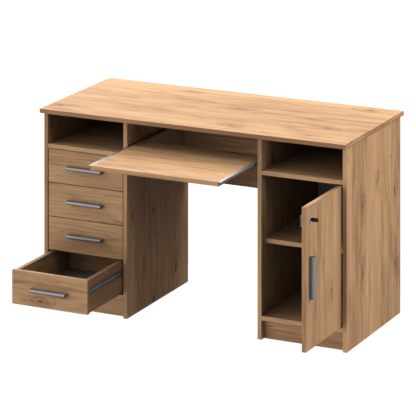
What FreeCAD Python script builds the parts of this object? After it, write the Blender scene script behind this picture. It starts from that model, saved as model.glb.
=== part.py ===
"""Computer desk with two pedestals, four drawers, a cupboard and a keyboard tray.

Working axes while the pieces are made, in millimetres: x runs to the right from the outer
face of the left side panel, y runs to the back from the front edges of the side panels and
z runs up from the floor.  save() moves every piece so that the origin is the middle of the
model's footprint, on the floor.  The fourth drawer, the tray and the door are stored open.
"""
import FreeCAD, Part
import os

# --- Overall sizes -------------------------------------------------------------------------
OVERALL_WIDTH = 1230.0          # over the outer faces of the two side panels
PANEL_DEPTH = 510.0             # front to back of the side panels
OVERALL_HEIGHT = 746.0          # floor to the upper face of the worktop
BOARD = 16.0                    # thickness of every laminated board
EDGE_ROUND = 0.8                # rounding of the banded edges

# --- Worktop -------------------------------------------------------------------------------
TOP_SIDE_OVERHANG = 5.0
TOP_FRONT_OVERHANG = 27.0
TOP_BACK_OVERHANG = 23.0

# --- Pedestals -----------------------------------------------------------------------------
PEDESTAL_WIDTH = 350.0          # over both of its upright panels
COMPARTMENT_HEIGHT = 119.0      # open space under the worktop
PLINTH_HEIGHT = 70.0
PLINTH_RECESS = 22.0
BACK_BOARD = 3.0
BACK_BOARD_INSET = 1.0          # how far the back board's edges stay inside the pedestal
RAIL_HEIGHT = 326.0             # board across the back of the knee space
RAIL_RECESS = 16.0              # from the back edges of the panels

# --- Drawers -------------------------------------------------------------------------------
DRAWER_COUNT = 4
FRONT_RECESS = 1.0              # fronts and door stand back from the panel edges
FRONT_SIDE_GAP = 2.5
FRONT_BETWEEN_GAP = 2.5
FRONT_TOP_GAP = 2.0
FRONT_BOTTOM_GAP = 3.5
BOX_DEPTH = 400.0
BOX_SIDE_GAP = 6.5              # room for the slide on each side of the box
BOX_UNDER_FRONT = 1.0           # the box starts this much above the front's lower edge
BOX_BELOW_FRONT_TOP = 3.0
DRAWER_BOTTOM = 3.0
GROOVE_DEPTH = 5.0
GROOVE_RISE = 20.0              # from the lower edge of the box side to its groove
GROOVE_CLEARANCE = 0.3
DRAWER_OPENING = 275.0          # how far the lowest drawer is pulled out as stored

# --- Slides of the drawers and the tray ----------------------------------------------------
SLIDE_RISE = 78.5               # from a front's lower edge to the middle of its slide
SLIDE_LENGTH = 396.0
SLIDE_TRAVEL = 300.0
SLIDE_FRONT_SETBACK = 2.0       # fixed member behind the drawer's front
CHANNEL_SETBACK = 1.0           # moving member behind the drawer's front
SLIDE_HEIGHT = 18.0
SLIDE_SHEET = 1.0
SLIDE_CORE = 7.0                # height of the fixed core inside the channel
SLIDE_RUNNING_GAP = 0.6
SLIDE_PLAY = 0.7                # between the channel's flanges and the fixed member's web
CAGE_PLAY = 2.0                 # left between a ball cage and the end of its run

# --- Keyboard tray -------------------------------------------------------------------------
TRAY_DEPTH = 400.0
TRAY_DROP = 91.0                # from the worktop's lower face to the tray's upper face
TRAY_SIDE_GAP = 14.5
TRAY_OPENING = 305.0            # how far the tray is pulled out as stored
TRAY_TOP_FLANGE = 12.0
TRAY_LOW_FLANGE = 5.0
TRAY_SHEET = 1.2
TRAY_CORE = 7.0
TRAY_RUNNER_LENGTH = 345.0      # fixed member on the panel
TRAY_RUNNER_SETBACK = 3.0
TRAY_CAGE_LENGTH = 80.0
TRAY_CAGE_PLAY = 1.0            # from the cage to the channel's end and to its flange's edge
TRAY_TAB_LENGTH = 31.0          # fixing tab at the front of the fixed member
TRAY_TAB_RISE = 12.0

# --- Handles -------------------------------------------------------------------------------
HANDLE_LENGTH = 148.0
HANDLE_HEIGHT = 12.0
HANDLE_DEPTH = 22.0
HANDLE_WALL = 3.0
HANDLE_BAR = 6.5                # thickness of the front bar
HANDLE_END = 4.0
HANDLE_ROUND = 3.0
DOOR_HANDLE_INSET = 28.5        # from the door's free edge to the handle's side

# --- Cupboard ------------------------------------------------------------------------------
DOOR_SIDE_GAP = 2.5
DOOR_TOP_GAP = 4.0
DOOR_BOTTOM_GAP = 3.0
DOOR_OPEN_DEGREES = 90.0
PIVOT_FROM_EDGE = 2.0           # pivot line, from the door's hinged edge
PIVOT_FROM_FACE = 1.0           # pivot line, in front of the door's outer face
CUPBOARD_SHELF_RISE = 1.5       # from the cupboard's middle to the shelf's lower face
CUPBOARD_SHELF_RECESS = 33.0
CUPBOARD_SHELF_PLAY = 0.5
PIN_RADIUS = 2.5
PIN_IN_PANEL = 8.0
PIN_UNDER_SHELF = 9.0
PIN_FROM_SHELF_EDGE = 40.0
PIN_COLLAR_RADIUS = 4.5
PIN_COLLAR = 1.5

# --- Hinges --------------------------------------------------------------------------------
HINGE_FROM_END = 100.0          # from the door's top and bottom edges
CUP_RADIUS = 17.5
CUP_RIM = 1.0                   # how far the cup's rim laps over the door's face
CUP_CLEARANCE = 0.2
CUP_DEPTH = 11.5
CUP_FROM_EDGE = 22.5            # cup's centre, from the door's hinged edge
CUP_WING = 62.0
CUP_WING_WIDTH = 14.0
CUP_WING_SHEET = 1.4
ELBOW_LENGTH = 15.0
ELBOW_HEIGHT = 8.0
ELBOW_WIDTH = 15.0
HINGE_ARM_START = 29.0          # from the panel's front edge
HINGE_ARM_LENGTH = 62.0
HINGE_ARM_WIDTH = 14.0
HINGE_ARM_DEPTH = 11.0
HINGE_ARM_ROUND = 2.0
HINGE_PLATE_SHEET = 2.0
HINGE_PLATE_HEIGHT = 48.0
HINGE_PLATE_LENGTH = 26.0
HINGE_PLATE_START = 40.0

# --- Lock ----------------------------------------------------------------------------------
LOCK_DROP = 50.0                # from the door's top edge to the key's axis
LOCK_FROM_EDGE = 39.0           # key's axis, from the door's free edge
ROSETTE_RADIUS = 11.5
ROSETTE_THICKNESS = 2.0
CYLINDER_RADIUS = 9.0
CYLINDER_CLEARANCE = 0.2
KEY_BORE_RADIUS = 5.0
SHANK_RADIUS = 4.6
KEY_BOW_LENGTH = 28.0
KEY_BOW_HEIGHT = 14.0
KEY_BOW_THICKNESS = 3.6
KEY_BOW_FLAT = 0.5              # half the flat left at each end of the oval bow
KEY_BOW_CLEARANCE = 0.5         # between the rosette and the bow
KEY_SHANK_IN_BOW = 2.0          # the shank's reach into the bow
LOCK_CASE_SETBACK = 4.0         # from the door's free edge
LOCK_CASE_WIDTH = 46.0
LOCK_CASE_HEIGHT = 40.0
LOCK_CASE_DEPTH = 8.0
BOLT_HEIGHT = 12.0
BOLT_THICKNESS = 4.4
BOLT_LENGTH = 26.0
BOLT_THROW = 12.0
BOLT_CLEARANCE = 0.4
STRIKE_SHEET = 1.2
STRIKE_HEIGHT = 66.0
STRIKE_WIDTH = 18.0
STRIKE_PAST_SLOT = 1.5          # sheet in front of the slot
STRIKE_CLEARANCE = 2.5          # pocket past the end of the thrown bolt

# --- Screws --------------------------------------------------------------------------------
SCREW_FROM_EDGE = 93.0          # from the panels' front and back edges
SCREW_LENGTH = 50.0
SCREW_HEAD_RADIUS = 5.0
SCREW_HEAD = 4.0
SCREW_SHANK_RADIUS = 3.5
SCREW_THREAD_RADIUS = 2.7
SCREW_CLEARANCE = 0.1
CAP_RADIUS = 6.5
CAP_RISE = 1.2
CAP_ROUND = 0.6
RAIL_SCREW_FROM_EDGE = 50.0     # from the back rail's upper and lower edges

# --- Making --------------------------------------------------------------------------------
CUT_PAST = 1.0                  # how far a cut runs past the face that it opens
NEAR = 0.01                     # two places closer than this are the same

# --- Sizes that follow ---------------------------------------------------------------------
CARCASS_HEIGHT = OVERALL_HEIGHT - BOARD
SHELF_TOP = CARCASS_HEIGHT - COMPARTMENT_HEIGHT
SHELF_UNDER = SHELF_TOP - BOARD
BOTTOM_TOP = PLINTH_HEIGHT + BOARD
LEFT_PEDESTAL = 0.0
RIGHT_PEDESTAL = OVERALL_WIDTH - PEDESTAL_WIDTH
KNEE_LEFT = PEDESTAL_WIDTH
KNEE_RIGHT = RIGHT_PEDESTAL
FRONT_STACK = SHELF_UNDER - BOTTOM_TOP - FRONT_TOP_GAP - FRONT_BOTTOM_GAP
FRONT_HEIGHT = (FRONT_STACK - (DRAWER_COUNT - 1) * FRONT_BETWEEN_GAP) / DRAWER_COUNT
FRONT_BACK = FRONT_RECESS + BOARD
BOX_LEFT = LEFT_PEDESTAL + BOARD + BOX_SIDE_GAP
BOX_RIGHT = LEFT_PEDESTAL + PEDESTAL_WIDTH - BOARD - BOX_SIDE_GAP
BOX_BACK = FRONT_BACK + BOX_DEPTH
CAGE_LENGTH = SLIDE_LENGTH - SLIDE_TRAVEL - CAGE_PLAY
TRAY_TOP = CARCASS_HEIGHT - TRAY_DROP
TRAY_MIDDLE = TRAY_TOP - BOARD / 2
DOOR_LEFT = RIGHT_PEDESTAL + BOARD + DOOR_SIDE_GAP
DOOR_RIGHT = OVERALL_WIDTH - BOARD - DOOR_SIDE_GAP
DOOR_LOW = BOTTOM_TOP + DOOR_BOTTOM_GAP
DOOR_HIGH = SHELF_UNDER - DOOR_TOP_GAP
PIVOT_X = DOOR_RIGHT - PIVOT_FROM_EDGE
PIVOT_Y = FRONT_RECESS - PIVOT_FROM_FACE
LOCK_X = DOOR_LEFT + LOCK_FROM_EDGE
LOCK_Z = DOOR_HIGH - LOCK_DROP
CASE_LEFT = DOOR_LEFT + LOCK_CASE_SETBACK
BOLT_LOW = FRONT_BACK + (LOCK_CASE_DEPTH - BOLT_THICKNESS) / 2
BOW_REACH = ROSETTE_THICKNESS + KEY_BOW_CLEARANCE + KEY_BOW_LENGTH
HINGE_HEIGHTS = (DOOR_LOW + HINGE_FROM_END, DOOR_HIGH - HINGE_FROM_END)
SHELF_LOW = (BOTTOM_TOP + SHELF_UNDER) / 2 + CUPBOARD_SHELF_RISE
SCREW_DEPTHS = (SCREW_FROM_EDGE, PANEL_DEPTH - SCREW_FROM_EDGE)
SCREW_HEIGHTS = (SHELF_TOP - BOARD / 2, PLINTH_HEIGHT + BOARD / 2)
RAIL_BACK = PANEL_DEPTH - RAIL_RECESS
RAIL_LOW = CARCASS_HEIGHT - RAIL_HEIGHT
RAIL_SCREW_HEIGHTS = (RAIL_LOW + RAIL_SCREW_FROM_EDGE, CARCASS_HEIGHT - RAIL_SCREW_FROM_EDGE)

# The model's extents as stored, which give the origin.
OPEN_DOOR_FRONT = PIVOT_Y - (PIVOT_X - DOOR_LEFT)
OPEN_TRAY_FRONT = -TRAY_OPENING
OPEN_DRAWER_FRONT = FRONT_RECESS - DRAWER_OPENING - HANDLE_DEPTH
OPEN_KEY_RIGHT = PIVOT_X + PIVOT_Y - FRONT_RECESS + BOW_REACH
MODEL_LEFT = -TOP_SIDE_OVERHANG
MODEL_RIGHT = max(OVERALL_WIDTH + TOP_SIDE_OVERHANG, OPEN_KEY_RIGHT)
MODEL_FRONT = min(OPEN_DOOR_FRONT, OPEN_TRAY_FRONT, OPEN_DRAWER_FRONT, -TOP_FRONT_OVERHANG)
MODEL_BACK = PANEL_DEPTH + TOP_BACK_OVERHANG
ORIGIN_X = (MODEL_LEFT + MODEL_RIGHT) / 2
ORIGIN_Y = (MODEL_FRONT + MODEL_BACK) / 2

X_AXIS = FreeCAD.Vector(1, 0, 0)
Y_AXIS = FreeCAD.Vector(0, 1, 0)
Z_AXIS = FreeCAD.Vector(0, 0, 1)


# --- Shapes --------------------------------------------------------------------------------
def box(x, y, z):
    """A block between two values on each axis."""
    corner = FreeCAD.Vector(min(x), min(y), min(z))
    return Part.makeBox(abs(x[1] - x[0]), abs(y[1] - y[0]), abs(z[1] - z[0]), corner)


def board(x, y, z):
    """A board with lightly rounded edges."""
    block = box(x, y, z)
    return block.makeFillet(EDGE_ROUND, block.Edges)


def rod(start, axis, radius, length):
    """A round bar from a point along an axis; a negative length runs the other way."""
    direction = axis if length > 0 else axis * -1
    return Part.makeCylinder(radius, abs(length), FreeCAD.Vector(*start), direction)


def cut(body, tools):
    """The body with every tool taken away."""
    for tool in tools:
        body = body.cut(tool)
    return body


def fuse(pieces):
    """One solid from pieces that touch."""
    whole = pieces[0]
    for piece in pieces[1:]:
        whole = whole.fuse(piece)
    return whole.removeSplitter()


def mirrored(shape, middle_x):
    """The shape reflected to the other side of an upright plane."""
    return shape.mirror(FreeCAD.Vector(middle_x, 0, 0), X_AXIS)


def pulled_out(shape, travel):
    """A copy of the shape, shifted to the front."""
    copy = shape.copy()
    copy.translate(Y_AXIS * -travel)
    return copy


def round_edges(shape):
    """The edges that are whole circles."""
    return [edge for edge in shape.Edges if len(edge.Vertexes) == 1]


def open_door(shape):
    """A piece of the closed door, turned to where the open door holds it."""
    turned = shape.copy()
    turned.rotate(FreeCAD.Vector(PIVOT_X, PIVOT_Y, 0), Z_AXIS, DOOR_OPEN_DEGREES)
    return turned


def solids_of(shape):
    """The separate solids of a shape or of a list of shapes."""
    if isinstance(shape, (list, tuple)):
        return [solid for item in shape for solid in item.Solids]
    return list(shape.Solids)


def save(node, shape):
    """Writes one node about the model's own origin."""
    solids = solids_of(shape)
    for solid in solids:
        solid.translate(FreeCAD.Vector(-ORIGIN_X, -ORIGIN_Y, 0))
    result = solids[0] if len(solids) == 1 else Part.makeCompound(solids)
    result.exportStep(os.path.join("parts", node + ".step"))
    print(node, len(solids), "solid(s)", round(result.Volume / 1000.0, 2), "cm3")


# --- Screws that hold the panels -----------------------------------------------------------
def screw(face_x, y, z, inward, growth=0.0):
    """A connecting screw whose head is flush with a panel's face; growth makes its hole."""
    start = (face_x, y, z)
    head = rod(start, X_AXIS, SCREW_HEAD_RADIUS + growth, inward * SCREW_HEAD)
    shank = rod(start, X_AXIS, SCREW_SHANK_RADIUS + growth, inward * BOARD)
    thread = rod(start, X_AXIS, SCREW_THREAD_RADIUS + growth, inward * (SCREW_LENGTH + growth))
    return fuse([head, shank, thread])


def cap(face_x, y, z, inward):
    """A round cover over a screw's head."""
    disc = rod((face_x, y, z), X_AXIS, CAP_RADIUS, -inward * CAP_RISE)
    outer = face_x - inward * CAP_RISE
    rim = [edge for edge in round_edges(disc) if abs(edge.CenterOfMass.x - outer) < NEAR]
    return disc.makeFillet(CAP_ROUND, rim)


def screw_places():
    """Each connecting screw: the face that its head is in, y, z and the way it points."""
    places = []
    for left in (LEFT_PEDESTAL, RIGHT_PEDESTAL):
        for y in SCREW_DEPTHS:
            for z in SCREW_HEIGHTS:
                places.append((left, y, z, 1))
                places.append((left + PEDESTAL_WIDTH, y, z, -1))
    for z in RAIL_SCREW_HEIGHTS:
        places.append((KNEE_LEFT - BOARD, RAIL_BACK - BOARD / 2, z, 1))
        places.append((KNEE_RIGHT + BOARD, RAIL_BACK - BOARD / 2, z, -1))
    return places


def screw_holes():
    """The holes for all connecting screws."""
    return [screw(*place, growth=SCREW_CLEARANCE) for place in screw_places()]


def with_holes(piece, holes):
    """The piece with those holes cut that reach it."""
    reach = piece.BoundBox
    return cut(piece, [hole for hole in holes if reach.intersect(hole.BoundBox)])


# --- Carcass -------------------------------------------------------------------------------
def worktop():
    """The top board, which stands over the carcass on every side."""
    x = (-TOP_SIDE_OVERHANG, OVERALL_WIDTH + TOP_SIDE_OVERHANG)
    y = (-TOP_FRONT_OVERHANG, PANEL_DEPTH + TOP_BACK_OVERHANG)
    return board(x, y, (CARCASS_HEIGHT, OVERALL_HEIGHT))


def upright(left):
    """An upright panel, from the floor to the worktop."""
    return board((left, left + BOARD), (0, PANEL_DEPTH), (0, CARCASS_HEIGHT))


def pedestal_level(left, low):
    """A board between the two upright panels of a pedestal."""
    x = (left + BOARD, left + PEDESTAL_WIDTH - BOARD)
    return board(x, (0, PANEL_DEPTH), (low, low + BOARD))


def plinth(left):
    """The set-back board under a pedestal."""
    x = (left + BOARD, left + PEDESTAL_WIDTH - BOARD)
    return board(x, (PLINTH_RECESS, PLINTH_RECESS + BOARD), (0, PLINTH_HEIGHT))


def back_board(left):
    """The thin board on the back of a pedestal."""
    x = (left + BACK_BOARD_INSET, left + PEDESTAL_WIDTH - BACK_BOARD_INSET)
    z = (PLINTH_HEIGHT + BACK_BOARD_INSET, CARCASS_HEIGHT - BACK_BOARD_INSET)
    return box(x, (PANEL_DEPTH, PANEL_DEPTH + BACK_BOARD), z)


def back_rail():
    """The stiffening board across the back of the knee space."""
    return board((KNEE_LEFT, KNEE_RIGHT), (RAIL_BACK - BOARD, RAIL_BACK), (RAIL_LOW, CARCASS_HEIGHT))


def cupboard_shelf():
    """The loose shelf in the cupboard."""
    left = RIGHT_PEDESTAL + BOARD + CUPBOARD_SHELF_PLAY
    right = OVERALL_WIDTH - BOARD - CUPBOARD_SHELF_PLAY
    y = (CUPBOARD_SHELF_RECESS, PANEL_DEPTH - CUPBOARD_SHELF_PLAY)
    return board((left, right), y, (SHELF_LOW, SHELF_LOW + BOARD))


def shelf_pins(growth=0.0):
    """Four pins under the loose shelf; growth makes their holes."""
    height = SHELF_LOW - PIN_COLLAR_RADIUS
    near = CUPBOARD_SHELF_RECESS + PIN_FROM_SHELF_EDGE
    far = PANEL_DEPTH - PIN_FROM_SHELF_EDGE
    pins = []
    for face, way in ((RIGHT_PEDESTAL + BOARD, 1), (OVERALL_WIDTH - BOARD, -1)):
        for y in (near, far):
            start = (face, y, height)
            tail = rod(start, X_AXIS, PIN_RADIUS + growth, -way * (PIN_IN_PANEL + growth))
            nose = rod(start, X_AXIS, PIN_COLLAR_RADIUS, way * PIN_COLLAR)
            tongue = rod(start, X_AXIS, PIN_COLLAR_RADIUS, way * PIN_UNDER_SHELF)
            lower = box((face - way * CUT_PAST, face + way * PIN_UNDER_SHELF),
                        (y - PIN_COLLAR_RADIUS, y + PIN_COLLAR_RADIUS),
                        (height - PIN_COLLAR_RADIUS, height))
            pins.append(tail if growth else fuse([tail, nose, tongue.cut(lower)]))
    return pins


# --- Slides --------------------------------------------------------------------------------
def channel(face, way, middle, y, height, sheet, top_flange, low_flange):
    """The moving member: a sheet channel on a box or tray, open towards the panel."""
    low = middle - height / 2
    high = middle + height / 2
    web = box((face, face + way * sheet), y, (low, high))
    top = box((face, face + way * top_flange), y, (high - sheet, high))
    foot = box((face, face + way * low_flange), y, (low, low + sheet))
    return fuse([web, top, foot])


def fixed_member(panel, way, middle, y, height, sheet, core, reach):
    """The member on the panel: a flat web with a core that reaches into the channel."""
    web = box((panel, panel - way * sheet), y, (middle - height / 2, middle + height / 2))
    middle_core = box((panel, panel - way * reach), y, (middle - core / 2, middle + core / 2))
    return fuse([web, middle_core])


def cage(face, way, middle, y, core, height, sheet, gap, upper_width, lower_width):
    """The two ball cages that run between the core and the channel's flanges."""
    inner = core / 2 + gap
    outer = height / 2 - sheet - gap
    start = face + way * (sheet + gap)
    upper = box((start, face + way * upper_width), y, (middle + inner, middle + outer))
    lower = box((start, face + way * lower_width), y, (middle - outer, middle - inner))
    return [upper, lower]


def slide_middle(index):
    """Height of the middle of a drawer's slides."""
    return front_low(index) + SLIDE_RISE


def drawer_runners():
    """The fixed members on the two panels beside the drawers."""
    start = FRONT_BACK + SLIDE_FRONT_SETBACK
    y = (start, start + SLIDE_LENGTH)
    reach = BOX_SIDE_GAP - SLIDE_SHEET - SLIDE_RUNNING_GAP
    runners = []
    for index in range(1, DRAWER_COUNT + 1):
        for panel, way in ((BOX_RIGHT + BOX_SIDE_GAP, 1), (BOX_LEFT - BOX_SIDE_GAP, -1)):
            runners.append(fixed_member(panel, way, slide_middle(index), y,
                                        SLIDE_HEIGHT - 2 * SLIDE_SHEET, SLIDE_SHEET,
                                        SLIDE_CORE, reach))
    return runners


def drawer_channels(index, travel):
    """The moving members on one drawer's sides."""
    start = FRONT_BACK + CHANNEL_SETBACK - travel
    flange = BOX_SIDE_GAP - SLIDE_SHEET - SLIDE_PLAY
    return [channel(face, way, slide_middle(index), (start, start + SLIDE_LENGTH),
                    SLIDE_HEIGHT, SLIDE_SHEET, flange, flange)
            for face, way in ((BOX_RIGHT, 1), (BOX_LEFT, -1))]


def drawer_cages(index, travel):
    """The ball cages of one drawer, which move half as far as the drawer."""
    start = FRONT_BACK + SLIDE_FRONT_SETBACK + SLIDE_TRAVEL / 2 - travel / 2
    width = BOX_SIDE_GAP - SLIDE_SHEET - SLIDE_PLAY - SLIDE_RUNNING_GAP
    cages = []
    for face, way in ((BOX_RIGHT, 1), (BOX_LEFT, -1)):
        cages += cage(face, way, slide_middle(index), (start, start + CAGE_LENGTH),
                      SLIDE_CORE, SLIDE_HEIGHT, SLIDE_SHEET, SLIDE_RUNNING_GAP, width, width)
    return cages


# --- Handle --------------------------------------------------------------------------------
def handle_along_x(middle_x, face_y, middle_z):
    """A grip with a rounded front bar, a wall along its upper side and closed ends."""
    x = (middle_x - HANDLE_LENGTH / 2, middle_x + HANDLE_LENGTH / 2)
    z = (middle_z - HANDLE_HEIGHT / 2, middle_z + HANDLE_HEIGHT / 2)
    block = box(x, (face_y - HANDLE_DEPTH, face_y), z)
    front = face_y - HANDLE_DEPTH
    grip = [edge for edge in block.Edges if abs(edge.CenterOfMass.y - front) < NEAR]
    block = block.makeFillet(HANDLE_ROUND, grip)
    hollow = box((x[0] + HANDLE_END, x[1] - HANDLE_END),
                 (front + HANDLE_BAR, face_y + CUT_PAST),
                 (z[0] - CUT_PAST, z[1] - HANDLE_WALL))
    return block.cut(hollow)


# --- Drawers -------------------------------------------------------------------------------
def front_low(index):
    """Height of the lower edge of a drawer's front; the drawers count from the top."""
    from_below = DRAWER_COUNT - index
    return BOTTOM_TOP + FRONT_BOTTOM_GAP + from_below * (FRONT_HEIGHT + FRONT_BETWEEN_GAP)


def box_heights(index):
    """Lower and upper edge of a drawer's box."""
    low = front_low(index)
    return low + BOX_UNDER_FRONT, low + FRONT_HEIGHT - BOX_BELOW_FRONT_TOP


def drawer_bottom(index, growth=0.0):
    """The thin bottom of a drawer, held in grooves all round; growth makes the grooves."""
    low = box_heights(index)[0] + GROOVE_RISE
    depth = GROOVE_DEPTH - GROOVE_CLEARANCE + growth
    x = (BOX_LEFT + BOARD - depth, BOX_RIGHT - BOARD + depth)
    y = (FRONT_BACK - depth, BOX_BACK - BOARD + depth)
    return box(x, y, (low, low + DRAWER_BOTTOM + growth))


def drawer(index, travel):
    """Saves the pieces of one drawer, pulled out by travel."""
    low, high = box_heights(index)
    groove = drawer_bottom(index, GROOVE_CLEARANCE)
    front = board((BOX_LEFT - BOX_SIDE_GAP + FRONT_SIDE_GAP,
                   BOX_RIGHT + BOX_SIDE_GAP - FRONT_SIDE_GAP),
                  (FRONT_RECESS, FRONT_BACK),
                  (front_low(index), front_low(index) + FRONT_HEIGHT))
    side = board((BOX_LEFT, BOX_LEFT + BOARD), (FRONT_BACK, BOX_BACK), (low, high)).cut(groove)
    back = board((BOX_LEFT + BOARD, BOX_RIGHT - BOARD), (BOX_BACK - BOARD, BOX_BACK), (low, high))
    middle_x = (BOX_LEFT + BOX_RIGHT) / 2
    handle = handle_along_x(middle_x, FRONT_RECESS, front_low(index) + FRONT_HEIGHT / 2)
    name = "drawer_%d_" % index
    save(name + "front", pulled_out(front.cut(groove), travel))
    save(name + "sides", [pulled_out(side, travel), pulled_out(mirrored(side, middle_x), travel)])
    save(name + "back", pulled_out(back.cut(groove), travel))
    save(name + "bottom", pulled_out(drawer_bottom(index), travel))
    save(name + "handle", pulled_out(handle, travel))
    save(name + "slides", drawer_channels(index, travel))
    save(name + "ball_cages", drawer_cages(index, travel))


# --- Keyboard tray -------------------------------------------------------------------------
def tray_sides():
    """The tray's two edges and the way from each towards its panel."""
    return ((KNEE_LEFT + TRAY_SIDE_GAP, -1), (KNEE_RIGHT - TRAY_SIDE_GAP, 1))


def keyboard_tray():
    """The board that carries the keyboard, pulled out."""
    x = (KNEE_LEFT + TRAY_SIDE_GAP, KNEE_RIGHT - TRAY_SIDE_GAP)
    return board(x, (-TRAY_OPENING, TRAY_DEPTH - TRAY_OPENING), (TRAY_TOP - BOARD, TRAY_TOP))


def tray_runners():
    """The fixed members on the panels, with a taller fixing tab at the front."""
    y = (TRAY_RUNNER_SETBACK, TRAY_RUNNER_SETBACK + TRAY_RUNNER_LENGTH)
    reach = TRAY_SIDE_GAP - TRAY_SHEET - SLIDE_RUNNING_GAP
    runners = []
    for face, way in tray_sides():
        panel = face + way * TRAY_SIDE_GAP
        member = fixed_member(panel, way, TRAY_MIDDLE, y, BOARD, TRAY_SHEET, TRAY_CORE, reach)
        tab = box((panel, panel - way * TRAY_SHEET), (y[0], y[0] + TRAY_TAB_LENGTH),
                  (TRAY_MIDDLE, TRAY_MIDDLE + BOARD / 2 + TRAY_TAB_RISE))
        runners.append(fuse([member, tab]))
    return runners


def tray_channels():
    """The moving members along the tray's edges."""
    y = (-TRAY_OPENING, TRAY_DEPTH - TRAY_OPENING)
    return [channel(face, way, TRAY_MIDDLE, y, BOARD, TRAY_SHEET, TRAY_TOP_FLANGE, TRAY_LOW_FLANGE)
            for face, way in tray_sides()]


def tray_cages():
    """The tray's ball cages, which move half as far as the tray."""
    end = TRAY_DEPTH - TRAY_OPENING - TRAY_CAGE_PLAY
    width = TRAY_TOP_FLANGE - TRAY_CAGE_PLAY
    cages = []
    for face, way in tray_sides():
        cages += cage(face, way, TRAY_MIDDLE, (end - TRAY_CAGE_LENGTH, end), TRAY_CORE, BOARD,
                      TRAY_SHEET, SLIDE_RUNNING_GAP, width, TRAY_LOW_FLANGE)
    return cages


# --- Door, made closed and turned open -----------------------------------------------------
def hinge_cup(height, growth=0.0):
    """The round cup let into the door; growth makes its pocket."""
    centre = (DOOR_RIGHT - CUP_FROM_EDGE, FRONT_BACK, height)
    return rod(centre, Y_AXIS, CUP_RADIUS - CUP_CLEARANCE + growth, -(CUP_DEPTH + growth))


def door_panel():
    """The cupboard door, with pockets for the hinge cups and a hole for the lock."""
    panel = board((DOOR_LEFT, DOOR_RIGHT), (FRONT_RECESS, FRONT_BACK), (DOOR_LOW, DOOR_HIGH))
    pockets = [hinge_cup(height, CUP_CLEARANCE) for height in HINGE_HEIGHTS]
    hole = rod((LOCK_X, FRONT_RECESS, LOCK_Z), Y_AXIS, CYLINDER_RADIUS + CYLINDER_CLEARANCE, BOARD)
    return cut(panel, pockets + [hole])


def door_handle():
    """The same grip as on the drawers, standing upright near the door's free edge."""
    middle_x = DOOR_LEFT + DOOR_HANDLE_INSET + HANDLE_HEIGHT / 2
    middle_z = (DOOR_LOW + DOOR_HIGH) / 2
    handle = handle_along_x(middle_x, FRONT_RECESS, middle_z)
    handle.rotate(FreeCAD.Vector(middle_x, FRONT_RECESS, middle_z), Y_AXIS, -90)
    return handle


def hinge_cups():
    """Each concealed hinge's cup, its wings on the door's face and the start of its arm."""
    hinges = []
    for height in HINGE_HEIGHTS:
        centre = DOOR_RIGHT - CUP_FROM_EDGE
        wings = box((centre - CUP_WING_WIDTH / 2, centre + CUP_WING_WIDTH / 2),
                    (FRONT_BACK, FRONT_BACK + CUP_WING_SHEET),
                    (height - CUP_WING / 2, height + CUP_WING / 2))
        rim = rod((centre, FRONT_BACK, height), Y_AXIS, CUP_RADIUS + CUP_RIM, CUP_WING_SHEET)
        elbow = box((centre, centre + ELBOW_LENGTH), (FRONT_BACK, FRONT_BACK + ELBOW_HEIGHT),
                    (height - ELBOW_WIDTH / 2, height + ELBOW_WIDTH / 2))
        hinges.append(fuse([hinge_cup(height), rim, wings, elbow]))
    return hinges


def hinge_arms():
    """Each hinge's mounting plate and arm on the side panel's inner face."""
    face = OVERALL_WIDTH - BOARD
    arms = []
    for height in HINGE_HEIGHTS:
        plate = box((face - HINGE_PLATE_SHEET, face),
                    (HINGE_PLATE_START, HINGE_PLATE_START + HINGE_PLATE_LENGTH),
                    (height - HINGE_PLATE_HEIGHT / 2, height + HINGE_PLATE_HEIGHT / 2))
        arm = box((face - HINGE_ARM_DEPTH, face),
                  (HINGE_ARM_START, HINGE_ARM_START + HINGE_ARM_LENGTH),
                  (height - HINGE_ARM_WIDTH / 2, height + HINGE_ARM_WIDTH / 2))
        outer = face - HINGE_ARM_DEPTH
        nose = [edge for edge in arm.Edges if abs(edge.CenterOfMass.x - outer) < NEAR]
        arms.append(fuse([plate, arm.makeFillet(HINGE_ARM_ROUND, nose)]))
    return arms


def bolt(reach, growth=0.0):
    """The lock's bolt, drawn back; growth and reach make its channel and its pocket."""
    x = (CASE_LEFT - reach, CASE_LEFT + BOLT_LENGTH + growth)
    y = (BOLT_LOW - growth, BOLT_LOW + BOLT_THICKNESS + growth)
    return box(x, y, (LOCK_Z - BOLT_HEIGHT / 2 - growth, LOCK_Z + BOLT_HEIGHT / 2 + growth))


def lock_case():
    """The lock's case on the door's inner face, with the channel that the bolt runs in."""
    case = board((CASE_LEFT, CASE_LEFT + LOCK_CASE_WIDTH),
                 (FRONT_BACK, FRONT_BACK + LOCK_CASE_DEPTH),
                 (LOCK_Z - LOCK_CASE_HEIGHT / 2, LOCK_Z + LOCK_CASE_HEIGHT / 2))
    return case.cut(bolt(CUT_PAST, BOLT_CLEARANCE))


def lock_cylinder():
    """The round lock body through the door, with its rosette on the outer face."""
    front = FRONT_RECESS - ROSETTE_THICKNESS
    rosette = rod((LOCK_X, front, LOCK_Z), Y_AXIS, ROSETTE_RADIUS, ROSETTE_THICKNESS)
    rim = [edge for edge in round_edges(rosette) if abs(edge.CenterOfMass.y - front) < NEAR]
    rosette = rosette.makeFillet(ROSETTE_THICKNESS / 2, rim)
    body = rod((LOCK_X, FRONT_RECESS, LOCK_Z), Y_AXIS, CYLINDER_RADIUS, BOARD)
    bore = rod((LOCK_X, front, LOCK_Z), Y_AXIS, KEY_BORE_RADIUS, BOARD)
    return fuse([rosette, body]).cut(bore)


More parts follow.
